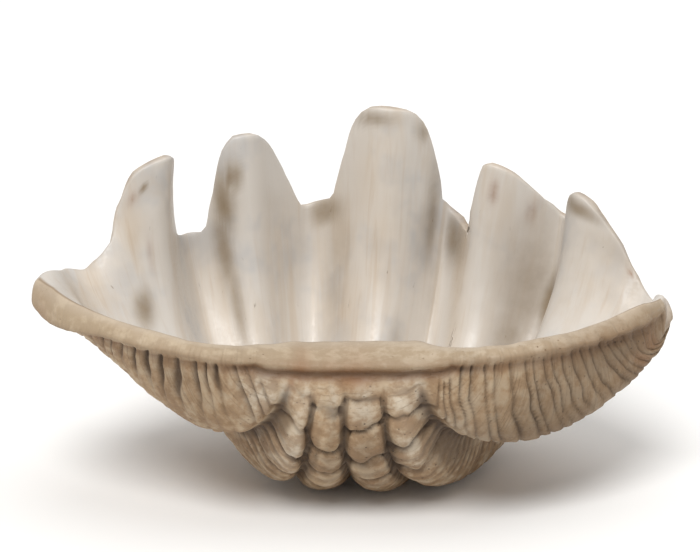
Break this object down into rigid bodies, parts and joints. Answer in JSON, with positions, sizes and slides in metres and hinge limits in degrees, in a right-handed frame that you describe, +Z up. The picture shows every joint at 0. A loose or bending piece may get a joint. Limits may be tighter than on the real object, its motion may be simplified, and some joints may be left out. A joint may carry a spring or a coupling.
{
  "type": "giant clam shell",
  "caption": "One thick ribbed valve of a giant clam, lying on its rounded outside as an open bowl with tall finger-like lobes at the back.",
  "frame": {"origin": "on the floor, under the middle of the shell's bounding box", "axes": "+X along the hinge to the shell's right as seen from the hinge side, +Y from the hinge to the fingers, +Z up"},
  "size_m": [0.6008, 0.3864, 0.3293],
  "materials": {
    "shell": "satin"
  },
  "bodies": {
    "root": {"shell": "shell"}
  },
  "joints": []
}
